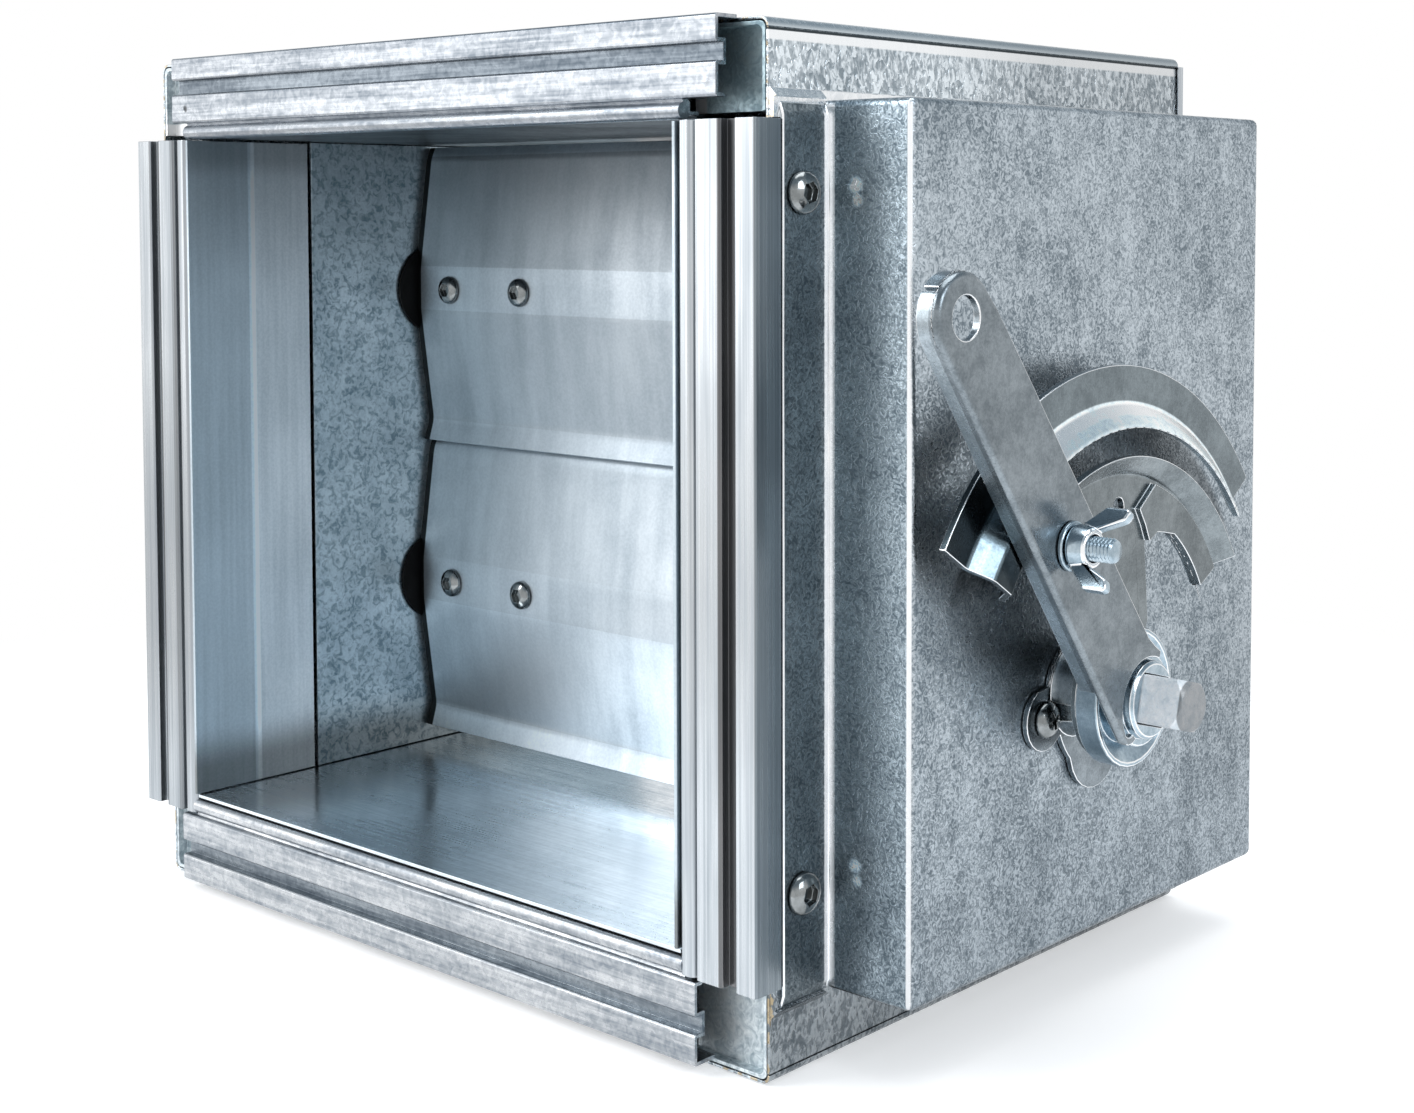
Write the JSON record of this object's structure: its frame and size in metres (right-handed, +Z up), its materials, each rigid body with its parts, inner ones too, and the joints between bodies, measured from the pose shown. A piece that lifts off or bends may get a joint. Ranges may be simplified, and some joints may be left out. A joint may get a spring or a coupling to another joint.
{
  "type": "volume control damper",
  "caption": "Square duct volume control damper with parallel folded blades, a flanged insulated casing, a side linkage cover and a lever on a locking quadrant.",
  "frame": {"origin": "middle of the casing's flat bottom face", "axes": "+X across the duct towards the linkage cover and lever, +Y along the air path from the front flange to the rear one, +Z up"},
  "size_m": [0.317, 0.1889, 0.2507],
  "materials": {
    "galvanised": "hot-dip galvanised sheet with soft grey spangle",
    "aluminium": "drawn aluminium rail with fine lengthwise lines",
    "satin_steel": "satin sheet steel with soft streaks",
    "pressed_steel": "warm grey pressed steel, lightly mottled",
    "zinc": "bluish zinc plate",
    "nylon": "matte black nylon"
  },
  "bodies": {
    "casing": {"bottom_casing_panel": "galvanised", "top_casing_panel": "galvanised", "left_casing_panel": "galvanised", "right_casing_panel": "galvanised", "duct_floor": "satin_steel", "duct_ceiling": "galvanised", "left_duct_wall": "galvanised", "right_duct_wall": "galvanised", "left_front_sleeve": "galvanised", "right_front_sleeve": "galvanised", "front_top_rail": "galvanised", "front_bottom_rail": "galvanised", "front_left_rail": "aluminium", "front_right_rail": "aluminium", "front_top_left_corner": "galvanised", "front_top_right_corner": "galvanised", "front_bottom_left_corner": "galvanised", "front_bottom_right_corner": "galvanised", "rear_left_rail": "aluminium", "rear_right_rail": "aluminium", "rear_top_rail": "galvanised", "rear_bottom_rail": "galvanised", "linkage_cover": "galvanised", "lower_strip_screw": "zinc", "upper_strip_screw": "zinc", "pivot_bracket": "pressed_steel", "ear_screw_a": "zinc", "ear_screw_b": "zinc", "quadrant_plate": "pressed_steel"},
    "lever_and_lower_blade": {"lower_blade": "satin_steel", "lower_blade_screw_a": "zinc", "lower_blade_screw_b": "zinc", "lower_blade_screw_c": "zinc", "lower_blade_screw_d": "zinc", "lower_shaft": "zinc", "lower_left_bush": "nylon", "lower_right_bush": "nylon", "lower_crank": "pressed_steel", "drive_stub": "zinc", "shaft_collar": "zinc", "lever": "pressed_steel", "clamp_bolt": "zinc", "clamp_washer": "zinc"},
    "upper_blade_set": {"upper_blade": "satin_steel", "upper_blade_screw_a": "zinc", "upper_blade_screw_b": "zinc", "upper_blade_screw_c": "zinc", "upper_blade_screw_d": "zinc", "upper_shaft": "zinc", "upper_left_bush": "nylon", "upper_right_bush": "nylon", "upper_crank": "pressed_steel"},
    "link": {"link_bar": "pressed_steel"},
    "wing": {"wing_nut": "zinc"}
  },
  "joints": [
    {"name": "lever_turn", "type": "hinge", "parent": "casing", "child": "lever_and_lower_blade", "pos_m": [0, -0.0053, 0.0844], "axis": [-1, 0, 0], "range_deg": [0, 90]},
    {"name": "upper_blade_turn", "type": "hinge", "parent": "casing", "child": "upper_blade_set", "pos_m": [0, -0.0053, 0.1798], "axis": [-1, 0, 0], "range_deg": [0, 90]},
    {"name": "link_turn", "type": "hinge", "parent": "lever_and_lower_blade", "child": "link", "pos_m": [0.1358, 0.01591, 0.10561], "axis": [-1, 0, 0], "range_deg": [-90, 0]},
    {"name": "wing_nut_turn", "type": "hinge", "parent": "lever_and_lower_blade", "child": "wing", "pos_m": [0.18, -0.04133, 0.12719], "axis": [1, 0, 0], "continuous": true}
  ],
  "couplings": [
    {"joint": "upper_blade_turn", "follows": "lever_turn", "ratio": 1},
    {"joint": "link_turn", "follows": "lever_turn", "ratio": -1}
  ]
}
